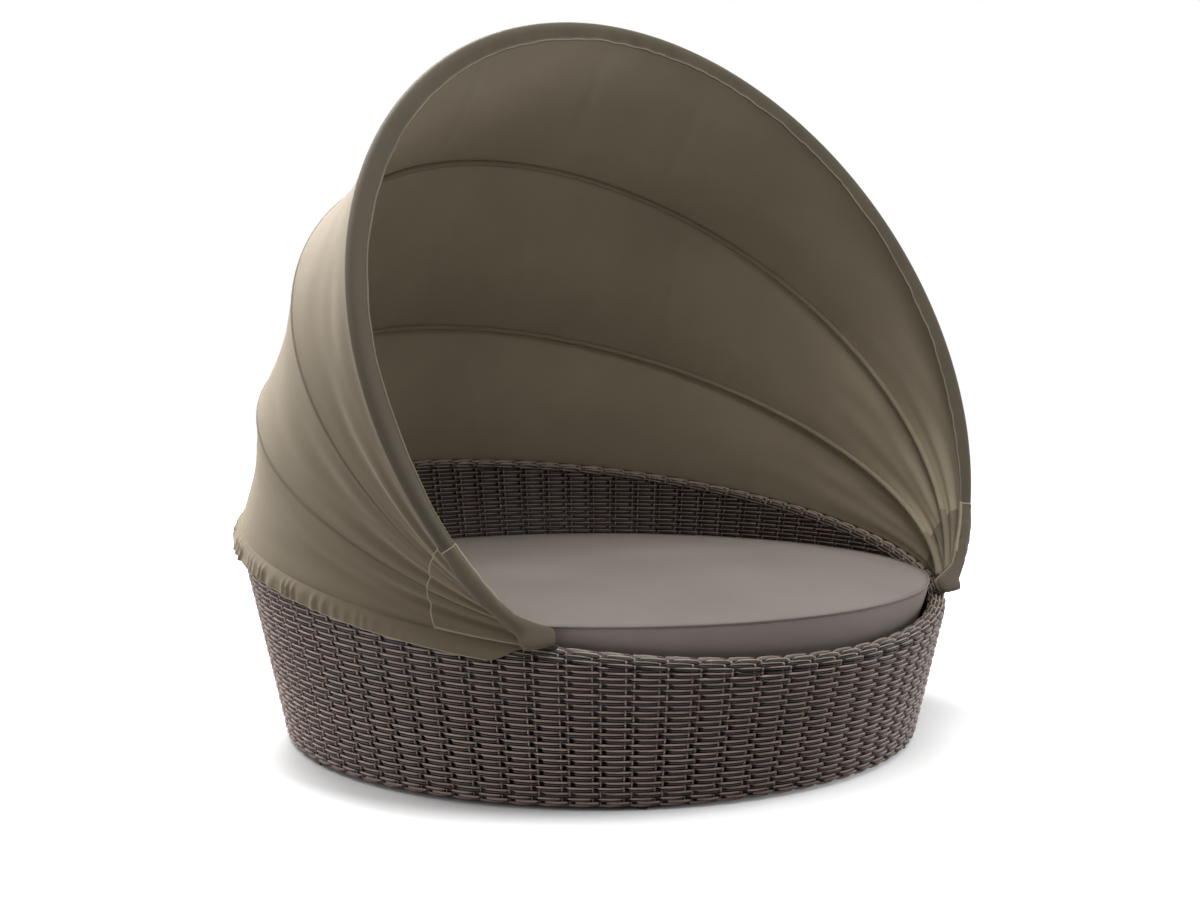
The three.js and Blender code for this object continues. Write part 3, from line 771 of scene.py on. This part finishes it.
def cloth_finish(name, dark, pale, thread=0.0009, relief=0.5, sheen=0.1):
    """Woven cloth: two crossing sets of threads in the cloth's own uv, and slight fading."""
    material, nodes, shader = start_finish(name, 0.85)
    uv = add_node(nodes, "UVMap")
    uv.uv_map = "cloth"
    threads = {"Scale": 0.31 / thread, "Distortion": 0.6, "Detail": 1}
    weft = add_node(nodes, "TexWave", threads)
    weft.bands_direction = "X"
    warp = add_node(nodes, "TexWave", threads)
    warp.bands_direction = "Y"
    weave = add_maths(nodes, "MULTIPLY")
    place = add_node(nodes, "TexCoord")
    fading = add_node(nodes, "TexNoise", {"Scale": 3.2, "Detail": 5})
    fleck = add_node(nodes, "Mix", {"Factor": 0.25})
    ramp = add_ramp(nodes, dark, pale, (0.25, 0.75))
    bump = add_node(nodes, "Bump", {"Strength": relief, "Distance": 0.0002})
    join(uv, "UV", weft, "Vector")
    join(uv, "UV", warp, "Vector")
    join(weft, "Fac", weave, 0)
    join(warp, "Fac", weave, 1)
    join(place, "Object", fading, "Vector")
    join(fading, "Fac", fleck, "A")
    join(weave, 0, fleck, "B")
    join(fleck, "Result", ramp, "Fac")
    join(ramp, "Color", shader, "Base Color")
    join(weave, 0, bump, "Height")
    join(bump, "Normal", shader, "Normal")
    shader.inputs["Sheen Weight"].default_value = sheen
    shader.inputs["Sheen Tint"].default_value = (1.0, 0.88, 0.7, 1.0)
    return material


canopy_cloth = cloth_finish("taupe_canopy_cloth", (94, 83, 66), (107, 96, 77), sheen=0.32)
# The inside of the same cloth is painted much paler than its outside, and the patches' inside a
# little less: painted light for the canopy's dim inside.
cloth_inside_painted_light = cloth_finish("canopy_cloth_inside_painted_light", (154, 143, 123), (174, 163, 141))
patch_inside_painted_light = cloth_finish("patch_cloth_inside_painted_light", (113, 104, 88), (128, 119, 102))
# A paler copy of the cloth for stitched edges and seams: a painted highlight where their raised folds
# catch the light.
painted_edge_highlight = cloth_finish("painted_edge_highlight", (140, 129, 110), (158, 147, 126))
panel_end = 0.985
panel_rows = 400
panel_shares = [panel_end * (2 * step / panel_rows - 1) for step in range(panel_rows + 1)]
panel_acrosses = [0.0, 0.007, *(step / 28 for step in range(1, 28)), 0.986, 0.993, 1.0]
panel_words = ("front", "middle", "rear")
for panel, word in enumerate(panel_words):
    piece = cloth_grid(f"panel_{word}", panel, panel_shares, panel_acrosses, 0.0)
    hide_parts(f"canopy_panel_{word}")

# Corner patches: further layers of the cloth sewn over the panels next to each pivot, one
# outside and one inside, each in three parts, one on each panel.
patch_from = 0.885
patch_edge = 0.0013
patch_to = 0.984
patch_rows = 12
patch_columns = 14
patch_lifts = (("outer", 0.0024), ("inner", -0.0024))
patch_shares = [patch_from, patch_from + patch_edge]
patch_length = patch_to - patch_from
patch_shares += [patch_from + patch_length * step / patch_rows for step in range(1, patch_rows + 1)]
patch_columns_across = [step / patch_columns for step in range(patch_columns + 1)]
patch_acrosses = {
    "outer": patch_columns_across,
    "inner": [0.02 + 0.96 * across for across in patch_columns_across],
}
for side, side_word in ((-1, "left"), (1, "right")):
    shares = sorted(side * share for share in patch_shares)
    for panel, panel_word in enumerate(panel_words):
        for layer, lift in patch_lifts:
            patch = cloth_grid(
                f"patch_{side_word}_{panel_word}_{layer}", panel, shares, patch_acrosses[layer], lift,
                patch_from + patch_edge,
            )
            if panel == 2:
                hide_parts(f"corner_patch_{side_word}")

# Rod channels: a strip of the cloth sewn round each rod. Outside it lies on the seam of
# the two panels as a narrow tape, and inside it wraps the rod.
channel_end = 0.99
channel_rows = 160
channel_top = 0.0101
under_patch_drop = 0.0020
channel_outside = 6
channel_profile = (
    (-0.0045, 0.0076), (-0.0042, 0.0090), (-0.0022, 0.0098), (0.0, channel_top),
    (0.0022, 0.0098), (0.0042, 0.0090), (0.0045, 0.0076), (0.0074, 0.0020),
    (0.0056, -0.0054), (0.0, -0.0080), (-0.0056, -0.0054), (-0.0074, 0.0020),
)


def loft(name, rings, materials, material_at):
    """A closed skin through outlines with the same number of points, capped at its ends.

    material_at gives each face's material by its row and column."""
    bm, uv = mapped_mesh("cloth")
    points = len(rings[0])
    made = grid(bm, points, len(rings) - 1)
    marks = {}
    along = 0.0
    for index, vert in enumerate(made):
        row, column = divmod(index, points + 1)
        vert.co = rings[row][column % points]
        if column == 0:
            around = 0.0
            along += (rings[row][0] - rings[row - 1][0]).length if row else 0.0
        else:
            around += (vert.co - made[index - 1].co).length
        marks[vert] = (around, along, row, column)
    for face in bm.faces:
        row = max(marks[vert][2] for vert in face.verts)
        column = max(marks[vert][3] for vert in face.verts)
        face.material_index = int(material_at(row, column))
        for loop in face.loops:
            loop[uv].uv = marks[loop.vert][:2]
    bmesh.ops.remove_doubles(bm, verts=bm.verts, dist=0.00001)
    bmesh.ops.holes_fill(bm, edges=[edge for edge in bm.edges if edge.is_boundary])
    bmesh.ops.recalc_face_normals(bm, faces=bm.faces)
    return show(name, bm, *materials)


def outline_ring(bow, share, outline):
    """An outline, given across and away from a bow, set round the bow."""
    middle, outward = bow_frame(bow, share)
    return [middle + outward * out + bow["front"] * side for side, out in outline]


# The tape outside is the cloth painted darker, painted shade for the seam's groove; the wrap inside
# is painted paler, painted light for the canopy's dim inside.
channel_tape_painted_shade = cloth_finish("channel_tape_painted_shade", (84, 75, 60), (102, 92, 76))
channel_inside_painted_light = cloth_finish("channel_inside_painted_light", (134, 124, 104), (152, 141, 120))
channel_shares = [channel_end * (2 * step / channel_rows - 1) for step in range(channel_rows + 1)]
for word, bow in (("middle", middle_bow), ("rear", rear_bow)):
    rings = []
    for share in channel_shares:
        under_patch = smooth(patch_from - 0.004, patch_from + 0.008, abs(share))
        top = channel_top - under_patch_drop * under_patch
        outline = [(side, min(out, top)) for side, out in channel_profile]
        rings.append(outline_ring(bow, share, outline))
    channel = loft(
        f"channel_{word}", rings, [channel_tape_painted_shade, channel_inside_painted_light, patch_inside_painted_light],
        lambda row, column: 2 if abs(channel_shares[row]) > patch_from else column > channel_outside,
    )
    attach(channel, bow["body"])

# Front sleeve: a folded band of the cloth sewn round the front bow. The tube fills its
# outer edge, and towards its inner edge it is drawn flat, stitched, and slightly puckered.
# At each end a boot of the same cloth is sewn over it and hides the pivot.
sleeve_round = 0.0134
sleeve_reach = 0.0336
sleeve_half = 0.0019
sleeve_taper = 0.66
sleeve_wave = 0.0026
stitch_groove = 0.0009
fold_height = 0.0036
# The sleeve and the boots are the same cloth painted darker than the panels: painted shade. Along the
# sleeve's stitched inner edge the cloth is painted paler: a painted highlight where the edge catches
# the light.
sleeve_cloth_painted_shade = cloth_finish("sleeve_cloth_painted_shade", (71, 64, 52), (83, 75, 61))
boot_cloth_painted_shade = cloth_finish("boot_cloth_painted_shade", (84, 76, 63), (97, 88, 73))
painted_sleeve_edge_highlight = cloth_finish("painted_sleeve_edge_highlight", (96, 88, 73), (146, 135, 114))
stitch_line = 0.9
edge_highlight_columns = (9, 10, 11)
sleeve_lines = (0.0, 0.12, 0.25, 0.4, 0.55, 0.7, 0.82, stitch_line, 0.935, 1.0)


def sleeve_outline(share, spare=0.0):
    """Down its front face from the outer edge to the stitched edge, and back behind."""
    pucker = noise.noise(Vector((52 * share, 0.3, 0.0)))
    pucker += 0.7 * noise.noise(Vector((118 * share, 4.3, 0.0)))
    force = 0.3 + 0.7 * smooth(-0.35, 0.0, share) * (1 - smooth(0.7, 0.9, share))
    edge_wave = sleeve_wave * noise.noise(Vector((24 * share, 9.1, 0.0)))
    reach = (sleeve_reach + edge_wave) * (1 - sleeve_taper * smooth(0.74, 0.97, abs(share)))
    half_line = []
    for line in sleeve_lines:
        out = sleeve_round - line * (sleeve_round + reach)
        if out > 0:
            half = sleeve_round * math.sqrt(max(0.02, 1 - (out / sleeve_round) ** 2))
        else:
            half = sleeve_half + (sleeve_round - sleeve_half) * (1 - smooth(0, reach, -out))
        groove = stitch_groove if line == stitch_line else 0.0
        fold = fold_height * pucker * force * smooth(0.35, 1.0, line)
        half_line.append((half + spare - groove, out, fold))
    last = len(half_line) - 1
    swelled = [
        (half, out + (spare if index == 0 else -spare if index == last else 0.0), fold)
        for index, (half, out, fold) in enumerate(half_line)
    ]
    front = [(half + fold, out) for half, out, fold in swelled]
    behind = [(-half + 0.6 * fold, out) for half, out, fold in reversed(swelled)]
    return front + behind


sleeve_end = 0.957
sleeve_rows = 410
sleeve_shares = [sleeve_end * (2 * step / sleeve_rows - 1) for step in range(sleeve_rows + 1)]
rings = [outline_ring(front_bow, share, sleeve_outline(share)) for share in sleeve_shares]
sleeve = loft(
    "front_sleeve_cloth", rings, [sleeve_cloth_painted_shade, painted_sleeve_edge_highlight],
    lambda row, column: column in edge_highlight_columns,
)
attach(sleeve, "bow_front_body")
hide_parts("front_sleeve")

boot_from = 0.893
boot_sweep_to = 0.95
boot_spare = 0.0026
boot_edge = 0.0014
boot_rows = 24
boot_turning_rows = 12
boot_inner = (0.013, 0.5545)
boot_slope = 2.4
boot_outer = (0.0225, 0.6345)
boot_fullness = 0.4
boot_half = 0.0165
boot_crumple = 0.0016
boot_hem_rows = 2
boot_seam_rows = 29
boot_levels = (0.026, 0.017, 0.010, 0.004, -0.003, -0.010, -0.017, -0.021, -0.0225)
boot_scales = (1.0, 1.0, 1.0, 1.0, 1.0, 0.98, 0.91, 0.81, 0.68)


def boot_outline(share):
    """The sleeve's outline with room for the sleeve in it, fuller at its outer edge."""
    fuller = 1 + boot_fullness * smooth(boot_from, boot_from + 0.03, share)
    outline = sleeve_outline(share, boot_spare)
    return [(side, out * fuller if out > 0 else out) for side, out in outline]


def boot_base(side, level, scale):
    """A rounded block round the pivot's pin, level with the bow's own plane."""
    away = (level - front_bow["centre"]) / front_bow["radius"]
    tube_x = front_bow["radius"] * math.sqrt(1 - away ** 2)
    inner = min(tube_x - boot_inner[0], boot_inner[1] + boot_slope * max(0.0, level - 0.009))
    outer = max(tube_x + boot_outer[0], boot_outer[1])
    half_x = (outer - inner) / 2
    middle_x = inner + half_x
    steps = len(sleeve_lines)
    ring = []
    for index in range(2 * steps):
        around = math.pi * (index + 0.5) / steps
        across = math.copysign(abs(math.cos(around)) ** 0.7, math.cos(around)) * half_x
        depth = math.copysign(abs(math.sin(around)) ** 0.8, math.sin(around)) * boot_half
        place = pivot + front_bow["up"] * level + front_bow["front"] * depth * scale
        ring.append(place + Vector((side * (middle_x + across * scale), 0, 0)))
    return ring


for side, word in ((-1, "left"), (1, "right")):
    rings = [outline_ring(front_bow, side * boot_from, sleeve_outline(side * boot_from))]
    for step in range(boot_rows):
        share = boot_from + boot_edge * min(step, 1)
        share += (boot_sweep_to - share) * max(0, step - 1) / (boot_rows - 2)
        rings.append(outline_ring(front_bow, side * share, boot_outline(share)))
    top_level = (bow_frame(front_bow, boot_sweep_to)[0] - pivot).dot(front_bow["up"])
    for step in range(1, boot_turning_rows + 1):
        share = step / boot_turning_rows
        level = top_level + (boot_levels[0] - top_level) * share
        going_on = outline_ring(
            front_bow, side * (boot_sweep_to + 0.035 * share), boot_outline(boot_sweep_to),
        )
        base = boot_base(side, level, 1.0)
        rings.append([a.lerp(b, smooth(0.0, 1.0, share)) for a, b in zip(going_on, base)])
    rings += [boot_base(side, *pair) for pair in zip(boot_levels[1:], boot_scales[1:])]
    # Its hem rows and the stitched line are painted paler: painted highlights.
    boot = loft(
        f"boot_{word}", rings, [boot_cloth_painted_shade, painted_edge_highlight],
        lambda row, column: row <= boot_hem_rows or column == edge_highlight_columns[1]
        or (row <= boot_seam_rows and column in edge_highlight_columns),
    )
    for vert in boot.data.vertices:
        crumple = noise.noise(vert.co * 38 + Vector((0, side * 5.2, 0)))
        crumple += 0.6 * noise.noise(vert.co * 84)
        vert.co += vert.normal * boot_crumple * crumple
    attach(boot, "bow_front_body")

# Hem: the canopy's lower edge, drawn over the rim and down the basket by an elastic, which
# gathers it most at the back. A stitched line runs along its top, and its lowest row is
# painted paler: a painted highlight on its turned lower edge.
hem_drop = 0.045
hem_from = math.radians(-44.4)
hem_to = math.radians(224.4)
hem_columns = 1300
hem_over = 0.36 * math.pi
hem_arc = hem_over * roll_radius
hem_length = hem_arc + hem_drop - roll_radius
hem_taper = 0.105
hem_stand = 0.0016
hem_thickness = 0.0016
hem_marks = (0.0, 0.09, 0.2, 0.3, 0.4, 0.5, 0.6, 0.72, 0.84, 0.92, 0.96, 1.0)


def hem_gather(angle, along):
    """Upright folds that fade towards the pivots and the band's upper edge."""
    slanted = angle + 0.4 * along
    back_share = smooth(-0.35, 0.6, math.sin(angle - 0.3))
    bend = noise.noise(Vector((17 * angle, 0.3, 2.7)))
    strength = max(0.15, 0.7 + 1.5 * noise.noise(Vector((19 * slanted, 0.3, 5.1))))
    ridge = (0.5 + 0.5 * math.sin(170 * slanted + 6 * bend)) ** 1.5
    below = smooth(0.1, 0.7, along / hem_length)
    return 0.0006 + 0.0066 * back_share * below * strength * ridge


def hem_place(angle, along, reach):
    """A place on the band, measured over the rim's roll from the band's upper edge."""
    if along < hem_arc:
        return rim_roll(angle, (hem_arc - along) / roll_radius, -reach)
    centre = rim_point(angle, roll_radius, roll_radius)
    height = centre.z - (along - hem_arc)
    loose = smooth(0.0, 0.8, math.sin(angle - 0.3))
    hang = (0.014 * loose - 0.0012) * smooth(hem_arc, hem_length, along)
    return round_point(angle, skin_radius(height) + reach + hang, height)


bm, uv = mapped_mesh("cloth")
made = grid(bm, len(hem_marks) - 1, hem_columns)
marks = {}
for index, vert in enumerate(made):
    column, mark = divmod(index, len(hem_marks))
    angle = hem_from + (hem_to - hem_from) * column / hem_columns
    ends = min(angle - hem_from, hem_to - angle)
    along = hem_length * (0.25 + 0.75 * smooth(0.0, hem_taper, ends)) * hem_marks[mark]
    stand = hem_stand * smooth(0.0, 0.5, along / hem_arc)
    gather = hem_gather(angle, along) * smooth(0.02, 0.3, ends)
    vert.co = hem_place(angle, along, stand + gather)
    marks[vert] = (along, angle * basket_radius)
# The lowest row is painted paler: a painted highlight on the turned lower edge.
for face in bm.faces:
    lowest = max(marks[vert][0] for vert in face.verts)
    face.material_index = int(lowest > 0.995 * hem_length)
    for loop in face.loops:
        loop[uv].uv = marks[loop.vert]
hem = show("hem", bm, canopy_cloth, painted_edge_highlight)
thicken(hem, hem_thickness, 1)
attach(hem, "base")
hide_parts("hem_band")

# Seat cushion: one round foam block in a fitted cover of outdoor cloth, with a flat welt
# sewn round its upper edge and a zip in the back of its side.
cushion_foot = 0.2203
cushion_seam = 0.3703
foot_radius = 0.7649
seam_radius = 0.8041
cushion_crown = 0.024
cushion_steps = 224
cushion_bulge = 0.005
cushion_foot_ease = 0.004
crown_exponent = 3.4
under_rows = 26
side_rows = 14
top_rows = 30
cushion_cloth = cloth_finish(
    "warm_grey_cushion_cloth", (132, 124, 117), (148, 140, 133), 0.0007, 0.6,
)
# The side band is the same cover cloth painted paler than the top: painted light on the sides.
cushion_side_painted_light = cloth_finish(
    "cushion_side_painted_light", (145, 133, 128), (163, 151, 146), 0.0007, 0.6,
)
side_middle = Vector((
    (foot_radius + seam_radius) / 2 + cushion_bulge, 0, (cushion_foot + cushion_seam) / 2,
))


def cushion_outline():
    """From the middle of the underside round the side to the middle of the top."""
    flat = foot_radius * 0.97
    line = [Vector((flat * step / under_rows, 0, cushion_foot)) for step in range(under_rows)]
    eased = cushion_foot + cushion_foot_ease
    for step in range(side_rows + 1):
        share = step / side_rows
        across = foot_radius + (seam_radius - foot_radius) * share
        bulge = cushion_bulge * 4 * share * (1 - share)
        lift = cushion_foot_ease * (1 - smooth(0.0, 0.08, share))
        height = eased - lift + (cushion_seam - cushion_foot - cushion_foot_ease) * share
        line.append(Vector((across + bulge - 0.5 * lift, 0, height)))
    for step in range(1, top_rows + 1):
        outward = 1 - step / top_rows
        crown = cushion_crown * (1 - outward ** crown_exponent)
        line.append(Vector((seam_radius * outward, 0, cushion_seam + crown)))
    return line


bm, uv = mapped_mesh("cloth")
spin_round(bm, cushion_outline(), cushion_steps)
bmesh.ops.remove_doubles(bm, verts=bm.verts, dist=0.0001)
bmesh.ops.recalc_face_normals(bm, faces=bm.faces)
for face in bm.faces:
    upright = abs(face.normal.z) < 0.6
    face.material_index = int(upright)
    for loop in face.loops:
        spot = loop.vert.co
        if upright:
            angle = math.atan2(spot.y, spot.x)
            loop[uv].uv = (angle * seam_radius, spot.z)
        else:
            loop[uv].uv = (spot.x, spot.y)
cushion = show("cushion", bm, cushion_cloth, cushion_side_painted_light)
swell_most = 0.006
swell_frames = 20


def swell_limit(spot):
    """How far the cover may stand off the foam: least at the seam and at the zip."""
    angle = math.atan2(spot.y, spot.x)
    radius = math.hypot(spot.x, spot.y)
    from_seam = math.hypot(radius - seam_radius, spot.z - cushion_seam)
    at_zip = radius > 0.7 and spot.z < side_middle.z and abs(angle - math.pi / 2) < 1.05
    under = spot.z < cushion_foot + 0.002
    return 0.0 if at_zip or under else swell_most * smooth(0.0, 0.09, from_seam)


rest = [vert.co.copy() for vert in cushion.data.vertices]
swell = cushion.modifiers.new("swell", "CLOTH")
swell.settings.use_pressure = True
swell.settings.uniform_pressure_force = 4
swell.settings.effector_weights.gravity = 0
swell.settings.quality = 4
swell.collision_settings.use_collision = False
for number in range(1, swell_frames + 1):
    bpy.context.scene.frame_set(number)
graph = bpy.context.evaluated_depsgraph_get()
swollen = [vert.co.copy() for vert in cushion.evaluated_get(graph).data.vertices]
cushion.modifiers.remove(swell)
bpy.context.scene.frame_set(1)
for vert, start, end in zip(cushion.data.vertices, rest, swollen):
    move = end - start
    limit = swell_limit(start)
    if move.length > limit:
        move = move * (limit / move.length)
    vert.co = start + move
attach(cushion, "cushion")
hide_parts("cushion_cover", "cushion_foam")

welt_half = 0.0022
welt_steps = 240
welt_cloth = cloth_finish("welt_cloth", (118, 110, 104), (134, 126, 119), 0.0007, 0.6)
welts = (("upper", seam_radius, cushion_seam), ("lower", foot_radius, cushion_foot + 0.003))
for word, radius, height in welts:
    bm, uv = mapped_mesh("cloth")
    ring = bmesh.ops.create_circle(bm, segments=8, radius=welt_half)["verts"]
    for vert in ring:
        vert.co = Vector((radius + vert.co.x, 0, height + vert.co.y))
    edges = list({edge for vert in ring for edge in vert.link_edges})
    bmesh.ops.spin(
        bm, geom=ring + edges, cent=(0, 0, 0), axis=(0, 0, 1), angle=turn,
        steps=welt_steps, use_merge=True, use_duplicate=False,
    )
    bmesh.ops.recalc_face_normals(bm, faces=bm.faces)
    for face in bm.faces:
        for loop in face.loops:
            spot = loop.vert.co
            loop[uv].uv = (math.atan2(spot.y, spot.x) * radius, spot.z)
    welt = show(f"cushion_welt_{word}", bm, welt_cloth)
    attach(welt, "cushion")

# Cushion zip: a black tape in the back of the cover's side, with a moulded row of teeth.
# The slider and its tab are the steel zip pull.
zip_half_turn = math.radians(52.4)
zip_low = cushion_foot + 0.3 * (side_middle.z - cushion_foot)
zip_high = cushion_foot + 0.62 * (side_middle.z - cushion_foot)
zip_middle = (zip_low + zip_high) / 2
teeth_half = 0.0025
tape_steps = 80
teeth = 420
tooth_size = (0.0014, 0.0017, 0.0044)
zip_tape = mottled_finish("zip_tape", 0.7, 0.0, 700, (26, 25, 24), (52, 50, 47))


def side_radius(height):
    share = (height - cushion_foot) / (side_middle.z - cushion_foot)
    return foot_radius + (side_middle.x - foot_radius) * share


bm = bmesh.new()
tapes = (
    (zip_low, zip_high, 0.0003),
    (zip_middle - teeth_half, zip_middle + teeth_half, 0.0016),
)
for low, high, proud in tapes:
    made = grid(bm, 2, tape_steps)
    for index, vert in enumerate(made):
        row, column = divmod(index, 3)
        angle = math.pi / 2 + zip_half_turn * (2 * row / tape_steps - 1)
        height = low + (high - low) * column / 2
        stand = proud * (2 if column == 1 else 1)
        vert.co = round_point(angle, side_radius(height) + stand, height)
for number in range(teeth):
    angle = math.pi / 2 + zip_half_turn * (2 * (number + 0.5) / teeth - 1)
    tooth = bmesh.ops.create_cube(bm, size=1)["verts"]
    middle = round_point(angle, side_radius(zip_middle) + 0.0030, zip_middle)
    for vert in tooth:
        out = round_point(angle, 1, 0) * vert.co.x * tooth_size[0]
        along = round_point(angle + math.pi / 2, 1, 0) * vert.co.y * tooth_size[1]
        vert.co = middle + out + along + Vector((0, 0, vert.co.z * tooth_size[2]))
cushion_zip = show("cushion_zip_teeth", bm, zip_tape)
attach(cushion_zip, "cushion")
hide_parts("cushion_zip")
